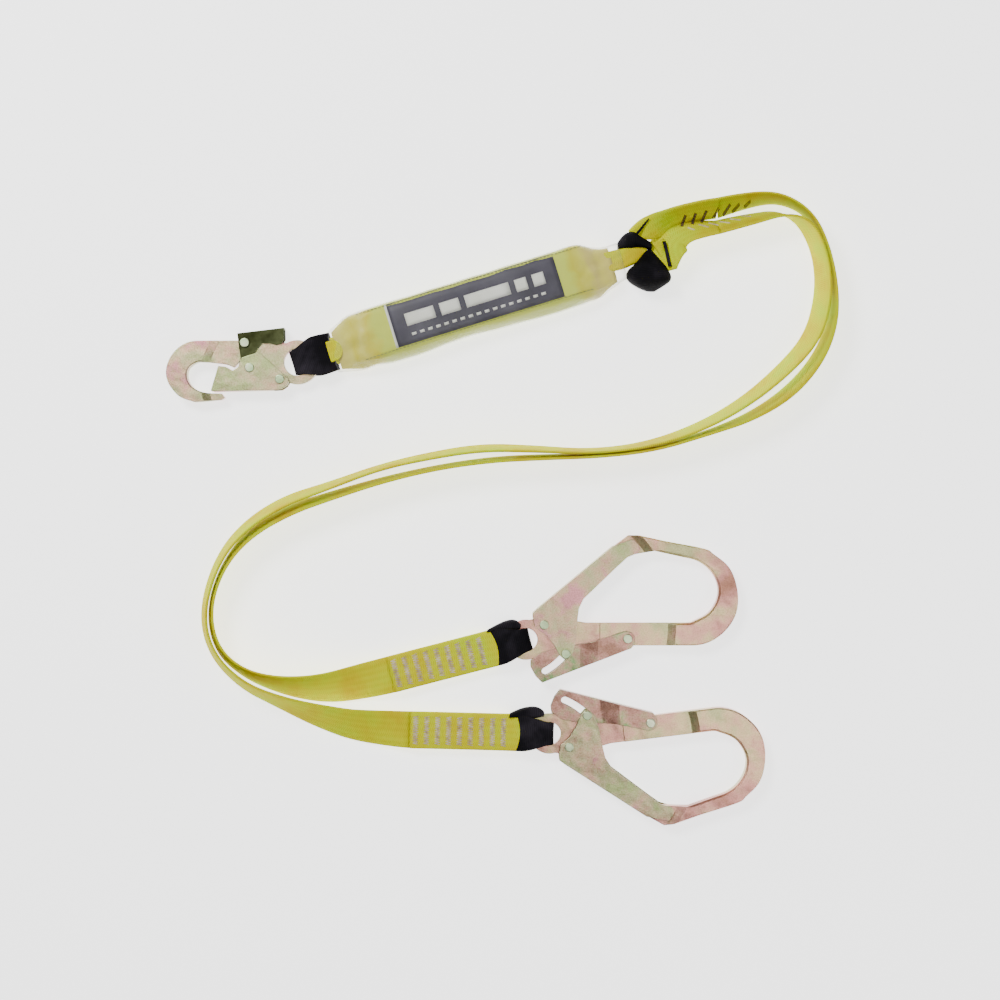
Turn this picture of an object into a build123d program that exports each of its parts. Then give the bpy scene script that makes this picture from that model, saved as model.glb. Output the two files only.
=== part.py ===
from build123d import *
import math
import os

# Twin-leg shock absorbing lanyard, laid out on a floor at z = 0. Millimetres, +Z up.
# Each hook is drawn flat in its own frame: the eye's centre is the origin, the hook's middle
# plane is z = 0, and the whole hook is then turned and lifted into its place.

# ---------------------------------------------------------------- driving dimensions

# webbing
WEB_WIDTH = 37.0
WEB_THICK = 2.6
FLOOR_GAP = 0.3                  # the webbing's lower edge over the floor
SEWN_THICK = 5.8                 # two layers of webbing and the thread between them
SLEEVE_WALL = 1.1
METAL_GAP = 0.5                  # between a webbing loop and the metal it runs round
LAYER_GAP = 0.1
FLAT_TOLERANCE = 0.01

# all hooks: fasteners
HOOK_LIFT = 9.2                  # height of every hook's middle plane above the floor
SHAFT_RADIUS = 3.0
RUNNING_FIT = 0.08
HEAD_RADIUS = 4.6
HEAD_GAP = 0.15
HEAD_TOP = 9.2
HEAD_ROUND = 0.6
SPRING_WIRE = 0.4                # radius of the gate springs' wire
COIL_PITCH = 2.2                 # from turn to turn, in wire radii
HAIRPIN_WIRE = 0.8               # radius of the lock springs' wire
PIVOT_BOSS = 8.5                 # radius of the frame round a gate's pivot

# scaffold hook: frame
EYE_HOLE = 11.5
EYE_RIM = 20.0
GATE_PIVOT = (18.1, 15.2)
LATCH_PIN = (39.9, -13.9)
LOCK_PIVOT = (101.7, 1.3)
EYE_HALF = 3.5                   # half thickness round the eye and under the lock's inner cheeks
SHANK_HALF = 5.0
NOSE_HALF = 7.0
SHANK_TOP = 17.0
SHANK_BOTTOM = -5.5
THIN_END = 74.0                  # the shank is thicker from here to the nose
GATE_REACH = 124.0               # radius about the gate's pivot that holds its cheeks
STEP_RUN = 8.0                   # length of the slope from the shank's thickness to the nose's
TIP_RADIUS = 104.6               # the tip ends just outside the gate's web
BOW_BEVEL = (2.0, 1.0)           # round the inside and the outside of the bow

# scaffold hook: gate and lock lever
GATE_CHEEK = (5.9, 7.9)
LOCK_INNER = (3.8, 5.6)
LOCK_OUTER = (5.3, 7.1)
JOGGLE = (54.0, 72.0)            # where the lock's cheeks step out over the shank
GATE_OPEN = 40.0
LOCK_TURN = 7.0
PIN_RADIUS = 3.3
SLOT_GAP = 0.5

# snap hook
SNAP_EYE_HOLE = 13.5
SNAP_EYE_RIM = 22.0
SNAP_GATE_PIVOT = (-17.1, -17.2)
SNAP_LATCH_PIN = (-47.4, -5.7)
SNAP_LOCK_PIVOT = (-52.3, 19.3)
SNAP_HALF = 4.5
SNAP_NOSE_HALF = 6.5
SNAP_REACH = 71.5
SNAP_LOCK_CHEEK = (4.8, 6.4)
SNAP_GATE_CHEEK = (6.7, 8.1)
SNAP_PIN_RADIUS = 2.4
SNAP_BEVEL = (1.0,)              # round the inside only

# from the point that the layout is drafted about to the middle of its floor area
LAYOUT_SHIFT = (11.7, 4.7)

# where each hook's eye is, and the way it is turned
SNAP_EYE = (-180.0, 145.5)
HOOK_A_EYE = (49.0, -132.5)
HOOK_B_EYE = (72.4, -226.5)
HOOK_B_TURN = 7.0

# direction from each eye towards its webbing, and the sewn length
SNAP_AXIS = 17.1
LEG_A_AXIS = 194.5
LEG_B_AXIS = 178.5
SEWN_LENGTH = 139.0
SLEEVE_LENGTH = 31.0
SNAP_SEWN_LENGTH = 72.0
SNAP_SLEEVE_LENGTH = 34.0
SADDLE_HALF_ANGLE = 38.0
STEM_NARROW = 12.0               # half width where the webbing leaves the rim
STEM_SPREAD = 10.0               # distance over which it opens to its full width

# absorber pack, along its own axis from the front neck
PACK_START = (-147.0, 155.5)
PACK_LENGTH = 306.0
COVER_WALL = 0.8
WRAP_WALL = 2.4
PACK_STATIONS = (                # along, across, width, thickness, height of the centre
    (0.0, -0.5, 44.0, 15.0, 9.2),
    (30.0, 2.2, 60.0, 27.0, 13.9),
    (67.0, 0.5, 59.0, 29.5, 14.8),
    (150.0, 2.2, 57.0, 29.5, 14.8),
    (245.0, 1.0, 59.5, 29.5, 14.8),
    (269.0, 1.0, 59.0, 27.0, 14.5),
    (279.0, -1.0, 50.0, 23.0, 14.8),
    (PACK_LENGTH, 2.0, 36.0, 16.0, 15.0),
)
PACK_CORNER = 0.3                # corner radius as a share of the thickness
LABEL_ALONG = (67.0, 240.0)
LABEL_ACROSS = (-17.2, 26.5)
LABEL_THICK = 0.4
FOLD_ALONG = (50.0, 256.0)
FOLD_LAYERS = 6
FOLD_PITCH = 3.3
STITCH_ROWS = ((35.5, 27.6, 271.5, 26.5), (33.0, -19.1, 272.0, -18.1))
STITCH_SIZE = (4.4, 0.9, 0.6)
STITCH_PITCH = 7.2

# yoke, seen from above
REAR_LOOP = ((142.3, 258.6), (167.7, 259), (167, 253.5), (157.5, 240.8), (148.8, 237.6))
SMALL_SLEEVE = ((140.7, 264.5), (144, 271.5), (156, 276), (162, 270), (174, 264), (173.8, 257.1),
                (167, 259.5), (141, 258))
BIG_SLEEVE = ((172.8, 257.1), (190.1, 238.7), (195.2, 228), (186.1, 222.4), (176.9, 216.8),
              (163.6, 219.3), (149.3, 227.5), (149.8, 237.7), (157.5, 240.8), (167.7, 254))
YOKE_BODY = ((152.4, 277.5), (173.8, 291.8), (219.7, 303), (239.5, 308.5), (239.5, 271.5),
             (224.8, 268.3), (204.4, 261.2), (198.3, 233.6), (195.8, 229), (190.1, 239),
             (172.8, 257.1), (175.9, 264.2), (160.6, 267.3))
YOKE_CORE = ((178, 257), (191, 242), (193, 232), (182, 224), (166, 224), (160, 232), (170, 246))
REAR_TONGUE = (56.0, 24.0)       # the rear loop's webbing inside the neck: length and width
REAR_LOOP_SPAN = (8.0, 22.0)     # lowest and highest, here and below
SMALL_SLEEVE_SPAN = (5.0, 27.0)
YOKE_SPAN = (2.5, 36.5)
YOKE_CORE_SPAN = (10.0, 26.0)
BIG_SLEEVE_SPAN = (1.0, 33.0)
YOKE_BARS = 7
YOKE_BAR = (9.0, 1.2, 0.6)
YOKE_BAR_HEIGHT = 36.8
YOKE_BAR_TURNS = (72.0, -40.0)
YOKE_BAR_PITCH = 6.6
YOKE_SLOPE = 0.27
YOKE_STITCH_UPPER = (197.0, 287.0)
YOKE_STITCH_LOWER = (197.0, 277.0)

# legs: the middle of the webbing, from the yoke to the sewn end, standing on its edge
LEG_A_ROUTE = (
    (240, 299), (273, 308), (305, 309), (334, 292), (350, 258), (357, 215), (353.5, 178),
    (338, 144), (310, 113), (272, 89.5), (228, 73.5), (178, 58), (125, 51.5), (70, 50.5),
    (15, 48), (-40, 40), (-92, 28), (-140, 13.5), (-186, -1.5), (-228, -26), (-255, -60),
    (-268, -103), (-260, -142), (-233, -166), (-196, -178),
)
LEG_A_TWIST = ((-196, -178), (-155, -181.5), (-118, -175.5), (-86.2, -167.5))
LEG_B_ROUTE = (
    (240, 280), (273, 288), (305, 294.5), (330, 283), (344, 250), (346.5, 212), (336, 171),
    (309, 139.5), (268, 105), (221, 79), (168, 61.5), (112, 55.5), (58, 58.5), (5, 60),
    (-48, 51.5), (-98, 40), (-148, 21.5), (-196, 5.5), (-237, -22.5), (-262, -58),
    (-275, -107), (-265, -147), (-235, -177.5), (-198, -194),
)
LEG_B_TWIST = ((-198, -194), (-158, -208.5), (-112, -221), (-67.2, -222.9))
LEG_BARS = 9
LEG_BARS_START = 46.0
LEG_BAR_PITCH = 11.0
LEG_BAR = (3.6, 29.0, 0.6)
ARC_SHARE = 0.45                 # share of the shorter run that each corner's arc uses
TWIST_STEPS = 8


# ---------------------------------------------------------------- small helpers


def slab(outline, low, high):
    """A flat outline made solid between two heights."""
    return extrude(Pos(0, 0, low) * outline, high - low, dir=(0, 0, 1))


def both_sides(outline, low, high):
    """The same plate on both sides of the middle plane."""
    return slab(outline, low, high) + slab(outline, -high, -low)


def polygon(points):
    return make_face(Polyline(*points, close=True))


def rounded(points, radius):
    return make_face(FilletPolyline(*points, radius=radius, close=True))


def disc(centre, radius):
    return Pos(*centre) * Circle(radius)


def turned(point, pivot, degrees):
    """A flat point turned anticlockwise about a pivot."""
    angle = math.radians(degrees)
    dx = point[0] - pivot[0]
    dy = point[1] - pivot[1]
    return (pivot[0] + dx * math.cos(angle) - dy * math.sin(angle),
            pivot[1] + dx * math.sin(angle) + dy * math.cos(angle))


def rivet(centre, shaft, inner, outer):
    """A shaft with a rounded head on each end; the heads fill inner to outer."""
    body = slab(disc(centre, shaft), -inner, inner)
    for side in (-1, 1):
        height = outer - inner
        middle = side * (inner + height / 2)
        head = Pos(centre[0], centre[1], middle) * Cylinder(HEAD_RADIUS, height)
        rims = head.edges().filter_by(GeomType.CIRCLE).sort_by(Axis.Z)
        body = body + fillet(rims[-1] if side > 0 else rims[0], HEAD_ROUND)
    return body


def coil_spring(centre, radius, low, turns, lead):
    """A torsion spring round a rivet, with one straight leg at its start."""
    pitch = COIL_PITCH * SPRING_WIRE
    helix = Helix(pitch=pitch, height=pitch * turns, radius=radius)
    start = helix @ 0
    along = helix % 0
    leg = Line(start - along * lead, start)
    path = Wire([leg, helix])
    wire = sweep(Plane(path @ 0, z_dir=path % 0) * Circle(SPRING_WIRE), path=path)
    return Pos(centre[0], centre[1], low) * wire


def hairpin_spring(points, radius):
    """A bent wire in the middle plane."""
    path = FilletPolyline(*[(x, y, 0) for x, y in points], radius=radius)
    return sweep(Plane(path @ 0, z_dir=path % 0) * Circle(HAIRPIN_WIRE), path=path)


def bevelled(body, half, bevels):
    """A hook's frame with its bow bevelled: the two shorter curves are inside, the two longer outside."""
    for pick, size in zip((slice(0, 2), slice(-2, None)), bevels):
        curves = body.edges().filter_by(GeomType.BSPLINE)
        rims = [curve for curve in curves if abs(abs(curve.center().Z) - half) < FLAT_TOLERANCE]
        rims.sort(key=lambda edge: edge.length)
        body = chamfer(rims[pick], size)
    return body


# ---------------------------------------------------------------- scaffold hook


def scaffold_outline():
    """The frame's flat outline: eye, shank, nose and tip."""
    outer = Spline((166, SHANK_BOTTOM), (186.1, -0.8), (200.6, 10.6), (209.6, 25), (212.2, 42.5),
                   (208.6, 61.5), (200, 76.2), (186.1, 87.2), (168.3, 93.6),
                   tangents=[(1, 0), (-0.98, 0.2)])
    inner = Spline((158, 82.6), (170, 79.6), (181.5, 72.4), (189.8, 61.2), (192.6, 47.5),
                   (188.6, 34.6), (179.4, 24.4), (168, 18.7), (156, SHANK_TOP),
                   tangents=[(0.98, -0.18), (-1, 0)])
    tip = Polyline(outer @ 1, (138.8, 99), (113, 104.7), (102.6, 104.7), (84, 91), (98, 84),
                   (128.5, 89.1), inner @ 0)
    back = Polyline(inner @ 1, (49, SHANK_TOP), (49, SHANK_BOTTOM), outer @ 0)
    bow = make_face([outer, tip, inner, back])
    neck = polygon([(60, SHANK_TOP), (20, 23.5), (0, 19), (4, -19.6), (49, -6), (60, SHANK_BOTTOM)])
    tip_end = disc(GATE_PIVOT, TIP_RADIUS) & polygon([(70, 80), (125, 80), (125, 110), (70, 110)])
    return Circle(EYE_RIM) + disc(GATE_PIVOT, PIVOT_BOSS) + neck + bow - Circle(EYE_HOLE) - tip_end


def scaffold_frame():
    """Thin at the eye, thicker along the shank, thickest round the nose."""
    body = slab(scaffold_outline(), -NOSE_HALF, NOSE_HALF)
    step = NOSE_HALF - SHANK_HALF
    slope = Cone(GATE_REACH, GATE_REACH + STEP_RUN, step)
    slope = Pos(GATE_PIVOT[0], GATE_PIVOT[1], SHANK_HALF + step / 2) * slope
    thin = Pos(THIN_END - 100, 0, EYE_HALF + NOSE_HALF / 2) * Box(200, 200, NOSE_HALF)
    for cutter in (slope, thin):
        body = body - cutter - mirror(cutter, Plane.XY)
    for pivot in (GATE_PIVOT, LOCK_PIVOT):
        body = body - slab(disc(pivot, SHAFT_RADIUS), -NOSE_HALF, NOSE_HALF)
    return bevelled(body, NOSE_HALF, BOW_BEVEL)


def scaffold_gate():
    """A folded plate: two cheeks astride the hook's tip, and a web along the outer side."""
    cheek = rounded([
        (6.6, 22.5), (6.6, 27), (11.2, 31.4), (86.1, 93.4), (107.5, 101), (112, 96.1),
        (114.3, 91), (112.5, 87.5), (101.3, 82.7), (91.6, 73.9), (65.7, 49), (57.4, 41.1),
        (52.8, 31.4), (51.1, 17.5), (49.6, -1), (46.8, -13), (43.5, -18), (38.5, -19.5),
        (34, -15.8), (27.8, -4.7), (19.5, 5.5), (9.5, 12.5)], 1.6)
    web = polygon([(6.6, 22.5), (6.6, 26.8), (11.2, 31.4), (86.1, 93.4), (87.4, 91.9),
                   (12.5, 29.9), (8.6, 26.2), (8.6, 22.5)])
    body = both_sides(cheek, *GATE_CHEEK) + slab(web, -GATE_CHEEK[1], GATE_CHEEK[1])
    body = body - slab(disc(GATE_PIVOT, SHAFT_RADIUS + RUNNING_FIT), -HEAD_TOP, HEAD_TOP)
    return body - slab(disc(LATCH_PIN, PIN_RADIUS), -HEAD_TOP, HEAD_TOP)


def lock_slot():
    """The curved slot: the latch pin's own path, seen from the lock lever."""
    points = []
    for share in (0.0, 0.5, 1.0):
        pin = turned(LATCH_PIN, GATE_PIVOT, -share * GATE_OPEN)
        points.append(turned(pin, LOCK_PIVOT, share * LOCK_TURN))
    return SlotArc(ThreePointArc(*points), 2 * (PIN_RADIUS + SLOT_GAP))


def scaffold_lock():
    """A folded lever: cheeks that step out over the shank, and a web along the lower side."""
    cheek = rounded([
        (4.6, -27), (4.6, -21), (14, -13), (29.7, -7.9), (51.6, -4.4), (65, -2.5), (99.4, 9),
        (105.5, 7.8), (109, 3.5), (108.5, -4), (105.1, -8.3), (16.2, -42.7), (9.5, -36)], 1.8)
    web = polygon([(16.2, -42.7), (105.1, -8.3), (104.4, -6.6), (15.5, -41)])
    inner, outer = LOCK_INNER, LOCK_OUTER
    side = polygon([(0, inner[0]), (JOGGLE[0], inner[0]), (JOGGLE[1], outer[0]), (120, outer[0]),
                    (120, outer[1]), (JOGGLE[1], outer[1]), (JOGGLE[0], inner[1]), (0, inner[1])])
    whole = polygon([(0, 0), (120, 0), (120, outer[1]), (JOGGLE[1], outer[1]),
                     (JOGGLE[0], inner[1]), (0, inner[1])])
    cheek_side = extrude(Plane.XZ * side, 60, both=True)
    web_side = extrude(Plane.XZ * whole, 60, both=True)
    half = (slab(cheek, 0, NOSE_HALF + 2) & cheek_side) + (slab(web, 0, NOSE_HALF + 2) & web_side)
    body = half + mirror(half, Plane.XY)
    body = body - slab(lock_slot(), -HEAD_TOP, HEAD_TOP)
    return body - slab(disc(LOCK_PIVOT, SHAFT_RADIUS + RUNNING_FIT), -HEAD_TOP, HEAD_TOP)


def scaffold_hook():
    """Every piece of one scaffold hook, in the hook's own frame."""
    return {
        "frame": scaffold_frame(),
        "gate": scaffold_gate(),
        "lock": scaffold_lock(),
        "gate_rivet": rivet(GATE_PIVOT, SHAFT_RADIUS, GATE_CHEEK[1] + HEAD_GAP, HEAD_TOP),
        "lock_rivet": rivet(LOCK_PIVOT, SHAFT_RADIUS, LOCK_OUTER[1] + HEAD_GAP, HEAD_TOP - 0.3),
        "latch_pin": rivet(LATCH_PIN, PIN_RADIUS, GATE_CHEEK[1], HEAD_TOP),
        "gate_spring": coil_spring(GATE_PIVOT, 5.2, EYE_HALF + 0.7, 1.25, 8.0),
        "lock_spring": hairpin_spring([(62, -6.8), (90, -6.8), (92.5, -9.2), (62, -21.5)], 1.2),
    }


# ---------------------------------------------------------------- snap hook


def snap_outline():
    """The frame's flat outline: a hooked nose, a tooth, a relief for the pin, and the eye."""
    outer = Spline((-98, 21.3), (-109.5, 19.6), (-119, 14), (-126, 5.8), (-130, -3.2),
                   (-130.9, -12.4), (-128.4, -21.2), (-122.6, -29.6), (-114.2, -36.2),
                   (-104.5, -39.4), (-95, -39.4), tangents=[(-1, 0), (1, 0.06)])
    inner = Spline((-89, -31), (-97.5, -29.2), (-105, -24.8), (-109.3, -18.4), (-110.3, -11.5),
                   (-107.8, -5), (-101.5, -0.7), (-90, 0), tangents=[(-1, 0.1), (1, -0.05)])
    tip = Polyline(outer @ 1, (-75.8, -37.6), (-72.6, -35.4), (-75.8, -31.6), inner @ 0)
    back = Polyline(inner @ 1, (-75.8, -1.4), (-70, -2.4), (-63.5, -5.2), (-56.9, 1.7), (-50, 7.5),
                    (-37, 7.5), (-34, 0), (-27, -10), (-10, -10), (-10, 19), (-60, 21.6), outer @ 0)
    bow = make_face([outer, tip, inner, back])
    boss = disc(SNAP_GATE_PIVOT, PIVOT_BOSS)
    return Circle(SNAP_EYE_RIM) + boss + bow - Circle(SNAP_EYE_HOLE)


def snap_frame():
    body = slab(snap_outline(), -SNAP_NOSE_HALF, SNAP_NOSE_HALF)
    step = SNAP_NOSE_HALF - SNAP_HALF
    slope = Cone(SNAP_REACH, SNAP_REACH + STEP_RUN, step)
    slope = Pos(SNAP_GATE_PIVOT[0], SNAP_GATE_PIVOT[1], SNAP_HALF + step / 2) * slope
    body = body - slope - mirror(slope, Plane.XY)
    for pivot in (SNAP_GATE_PIVOT, SNAP_LOCK_PIVOT):
        body = body - slab(disc(pivot, SHAFT_RADIUS), -SNAP_NOSE_HALF, SNAP_NOSE_HALF)
    return bevelled(body, SNAP_NOSE_HALF, SNAP_BEVEL)


def snap_gate():
    """A folded plate that closes onto the tip; its upper edge dips round the frame's tooth."""
    cheek = rounded([
        (-86, -29.4), (-78.5, -4), (-71, -5), (-64, -9), (-58.5, -5), (-55.4, 4.2), (-39, 9.3),
        (-35, 7.3), (-8.9, -16.2), (-8, -20), (-10.5, -24), (-15.6, -27.6), (-22, -28)], 1.2)
    web = polygon([(-85, -29.3), (-24, -28), (-24, -26.4), (-84.6, -27.7)])
    body = both_sides(cheek, *SNAP_GATE_CHEEK) + slab(web, -SNAP_GATE_CHEEK[1], SNAP_GATE_CHEEK[1])
    body = body - slab(disc(SNAP_GATE_PIVOT, SHAFT_RADIUS + RUNNING_FIT), -HEAD_TOP, HEAD_TOP)
    return body - slab(disc(SNAP_LATCH_PIN, SNAP_PIN_RADIUS), -HEAD_TOP, HEAD_TOP)


def snap_lock():
    """A folded lever whose tail blocks the latch pin until the lever is pressed."""
    cheek = rounded([
        (-59.8, 28.7), (-13, 34.3), (-12.6, 23), (-15.6, 18), (-20.7, 17), (-26.8, 18.6),
        (-35, 18.6), (-41, 11.4), (-44.8, 5), (-47.3, -0.6), (-56, 0.4)], 1.0)
    web = polygon([(-59.6, 28.7), (-13, 34.3), (-13.2, 32.7), (-59.5, 27.1)])
    body = both_sides(cheek, *SNAP_LOCK_CHEEK) + slab(web, -SNAP_LOCK_CHEEK[1], SNAP_LOCK_CHEEK[1])
    return body - slab(disc(SNAP_LOCK_PIVOT, SHAFT_RADIUS + RUNNING_FIT), -HEAD_TOP, HEAD_TOP)


def snap_hook():
    """Every piece of the snap hook, in the hook's own frame."""
    return {
        "frame": snap_frame(),
        "gate": snap_gate(),
        "lock": snap_lock(),
        "gate_rivet": rivet(SNAP_GATE_PIVOT, SHAFT_RADIUS, SNAP_GATE_CHEEK[1] + HEAD_GAP, HEAD_TOP),
        "lock_rivet": rivet(SNAP_LOCK_PIVOT, SHAFT_RADIUS, SNAP_LOCK_CHEEK[1] + HEAD_GAP,
                            SNAP_LOCK_CHEEK[1] + 2.1),
        "latch_pin": rivet(SNAP_LATCH_PIN, SNAP_PIN_RADIUS, SNAP_GATE_CHEEK[1], HEAD_TOP),
        "gate_spring": coil_spring(SNAP_GATE_PIVOT, 5.0, SNAP_HALF + 0.7, 1.0, 7.0),
        "lock_spring": hairpin_spring([(-44, 22.6), (-24, 22.6), (-22.5, 24.8), (-44, 27.2)], 1.0),
    }


# ---------------------------------------------------------------- webbing round a hook's eye


def saddle(hole, rim, half, near, far):
    """A ring sector round the eye's rim: near and far are its walls' distances from the metal."""
    shell = Pos((hole + rim) / 2, 0) * Rectangle(rim - hole + 2 * far, 2 * (half + far))
    core = Pos((hole + rim) / 2, 0) * Rectangle(rim - hole + 2 * near, 2 * (half + near))
    ring = revolve(Plane.XZ * (shell - core), Axis.Z, 2 * SADDLE_HALF_ANGLE)
    return Rot(0, 0, -SADDLE_HALF_ANGLE) * ring


def stem(start, length, half_height, inset):
    """The webbing from the rim outwards: narrow at the eye and full width further on."""
    half = WEB_WIDTH / 2 - inset
    spread = start + STEM_SPREAD
    narrow = STEM_NARROW
    outline = polygon([(start, -narrow), (spread, -half), (length, -half), (length, half),
                       (spread, half), (start, narrow)])
    return slab(outline, -half_height, half_height)


def eye_loop(hole, rim, half, length, sleeve_length, inset):
    """The webbing's loop round an eye along +X, and the wear sleeve outside it."""
    near = METAL_GAP
    far = near + WEB_THICK
    outside = far + LAYER_GAP
    half_height = SEWN_THICK / 2
    hollow = stem(rim, length, half_height + LAYER_GAP, inset - LAYER_GAP)
    webbing = stem(rim, length, half_height, inset) - Cylinder(rim + near, 2 * (half + near))
    webbing = webbing + saddle(hole, rim, half, near, far)
    skin = stem(rim, sleeve_length, half_height + SLEEVE_WALL, inset - SLEEVE_WALL)
    skin = skin - Cylinder(rim + outside, 2 * (half + outside))
    sleeve = saddle(hole, rim, half, outside, outside + SLEEVE_WALL) + skin - hollow
    return webbing, sleeve


# ---------------------------------------------------------------- absorber pack


def pack_place(solid):
    return Pos(PACK_START[0], PACK_START[1], 0) * Rot(0, 0, SNAP_AXIS) * solid


def pack_loft(inset):
    """The pack's rounded body, with every wall set in by the same distance."""
    sections = []
    for along, across, width, thick, height in PACK_STATIONS:
        plane = Plane((along, across, height), x_dir=(0, 1, 0), z_dir=(1, 0, 0))
        corner = PACK_CORNER * (thick - 2 * inset)
        sections.append(plane * RectangleRounded(width - 2 * inset, thick - 2 * inset, corner))
    return loft(sections, ruled=True)


def tear_webbing():
    """Webbing folded to and fro, joined at alternate ends."""
    first, last = FOLD_ALONG
    middle = (FOLD_LAYERS - 1) / 2
    body = None
    for layer in range(FOLD_LAYERS):
        height = PACK_STATIONS[3][4] + (layer - middle) * FOLD_PITCH
        sheet = Pos((first + last) / 2, 0, height) * Box(last - first, WEB_WIDTH, WEB_THICK)
        body = sheet if body is None else body + sheet
        if layer:
            end = last - WEB_THICK / 2 if layer % 2 else first + WEB_THICK / 2
            turn = Pos(end, 0, height - FOLD_PITCH / 2) * Box(WEB_THICK, WEB_WIDTH, FOLD_PITCH)
            body = body + turn
    return body


def label():
    """A printed strip between the clear cover and the fabric."""
    top = PACK_STATIONS[3][4] + PACK_STATIONS[3][3] / 2 - COVER_WALL - 0.1
    along = LABEL_ALONG[1] - LABEL_ALONG[0]
    across = 2 * (LABEL_ACROSS[1] - 8)
    plate = Box(along, across, LABEL_THICK)
    return Pos(LABEL_ALONG[0] + along / 2, 1.0, top - LABEL_THICK / 2) * plate


def stitch_row(start_x, start_y, end_x, end_y, height):
    """One straight row of stitches lying on the cover."""
    count = int((end_x - start_x) / STITCH_PITCH)
    stitches = []
    for index in range(count):
        share = (index + 0.5) / count
        x = start_x + share * (end_x - start_x)
        y = start_y + share * (end_y - start_y)
        stitches.append(Pos(x, y, height) * Box(*STITCH_SIZE))
    return stitches


def absorber_pack():
    """The pack's pieces, in its own frame."""
    cover = pack_loft(0) - pack_loft(COVER_WALL)
    wrap = pack_loft(COVER_WALL + 0.7) - pack_loft(COVER_WALL + 0.7 + WRAP_WALL)
    rows = []
    for row in STITCH_ROWS:
        rows += stitch_row(*row, PACK_STATIONS[3][4] + PACK_STATIONS[3][3] / 2 + STITCH_SIZE[2] / 2)
    return {"absorber_cover": cover, "absorber_wrap": wrap, "tear_webbing": tear_webbing(),
            "id_label": label(), "cover_stitching": Compound(children=rows)}


# ---------------------------------------------------------------- yoke


def yoke_pieces():
    """The absorber's rear loop, the two legs sewn together, and both wear sleeves."""
    tongue = Pos(PACK_LENGTH - 12, 2, 15) * Box(*REAR_TONGUE, SEWN_THICK)
    rear_loop = pack_place(tongue) + slab(polygon(REAR_LOOP), *REAR_LOOP_SPAN)
    pack = pack_place(pack_loft(0))
    small = slab(polygon(SMALL_SLEEVE), *SMALL_SLEEVE_SPAN) - rear_loop - pack
    webbing = slab(polygon(YOKE_BODY), *YOKE_SPAN) + slab(polygon(YOKE_CORE), *YOKE_CORE_SPAN)
    webbing = webbing - rear_loop - small
    big = slab(polygon(BIG_SLEEVE), *BIG_SLEEVE_SPAN) - rear_loop - small - webbing - pack
    return {"rear_loop": rear_loop, "rear_wear_sleeve": small, "yoke_webbing": webbing,
            "yoke_wear_sleeve": big}


def yoke_stitches():
    """Bar stitches on top of the sewn webbing, in two rows."""
    bars = []
    for start, turn in zip((YOKE_STITCH_UPPER, YOKE_STITCH_LOWER), YOKE_BAR_TURNS):
        for index in range(YOKE_BARS):
            x = start[0] + index * YOKE_BAR_PITCH
            y = start[1] + index * YOKE_BAR_PITCH * YOKE_SLOPE
            bars.append(Pos(x, y, YOKE_BAR_HEIGHT) * Rot(0, 0, turn) * Box(*YOKE_BAR))
    return Compound(children=bars)


# ---------------------------------------------------------------- legs


def corner_radii(points):
    """An arc for each corner of a route, as large as its two runs allow."""
    radii = []
    for before, corner, after in zip(points, points[1:], points[2:]):
        first = Vector(*corner) - Vector(*before)
        second = Vector(*after) - Vector(*corner)
        turn = math.radians(first.get_angle(second))
        radii.append(ARC_SHARE * min(first.length, second.length) / math.tan(turn / 2))
    return radii


def edge_webbing(route, name):
    """Webbing standing on its edge along a route."""
    radii = corner_radii(route)
    print(name, "arc radii:", " ".join(f"{radius:.0f}" for radius in radii))
    path = FilletPolyline(*route, radius=radii)
    print(name, "length on edge:", round(path.length, 1))
    body = slab(trace(path, WEB_THICK), FLOOR_GAP, FLOOR_GAP + WEB_WIDTH)
    print(name, "volume over section times length:",
          round(body.volume / (path.length * WEB_WIDTH * WEB_THICK), 4))
    return body


def twist_webbing(route, name):
    """Webbing that turns from its edge to flat, down to the height of the hook's eye."""
    path = FilletPolyline(*route, radius=corner_radii(route))
    print(name, "length of the twist:", round(path.length, 1))
    on_edge = FLOOR_GAP + WEB_WIDTH / 2
    sections = []
    for step in range(TWIST_STEPS + 1):
        share = step / TWIST_STEPS
        roll = math.pi / 2 * share
        along = path % share
        height = HOOK_LIFT + (on_edge - HOOK_LIFT) * math.cos(roll)
        across = Vector(-along.Y * math.sin(roll), along.X * math.sin(roll), math.cos(roll))
        place = path @ share
        plane = Plane((place.X, place.Y, height), x_dir=across, z_dir=along)
        sections.append(plane * Rectangle(WEB_WIDTH, WEB_THICK))
    return loft(sections, ruled=True)


def leg_webbing(route, twist, name):
    return edge_webbing(route, name) + twist_webbing(twist, name)


def bar_stitches(first, count, pitch):
    """Bar stitches across the sewn webbing, on its upper face."""
    bars = []
    for index in range(count):
        bars.append(Pos(first + index * pitch, 0, SEWN_THICK / 2 + 0.3) * Box(*LEG_BAR))
    return Compound(children=bars)


# ---------------------------------------------------------------- the whole lanyard


def hook_place(eye, turn, flipped=False):
    place = Pos(eye[0], eye[1], HOOK_LIFT) * Rot(0, 0, turn)
    return place * Rot(180, 0, 0) if flipped else place


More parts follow.
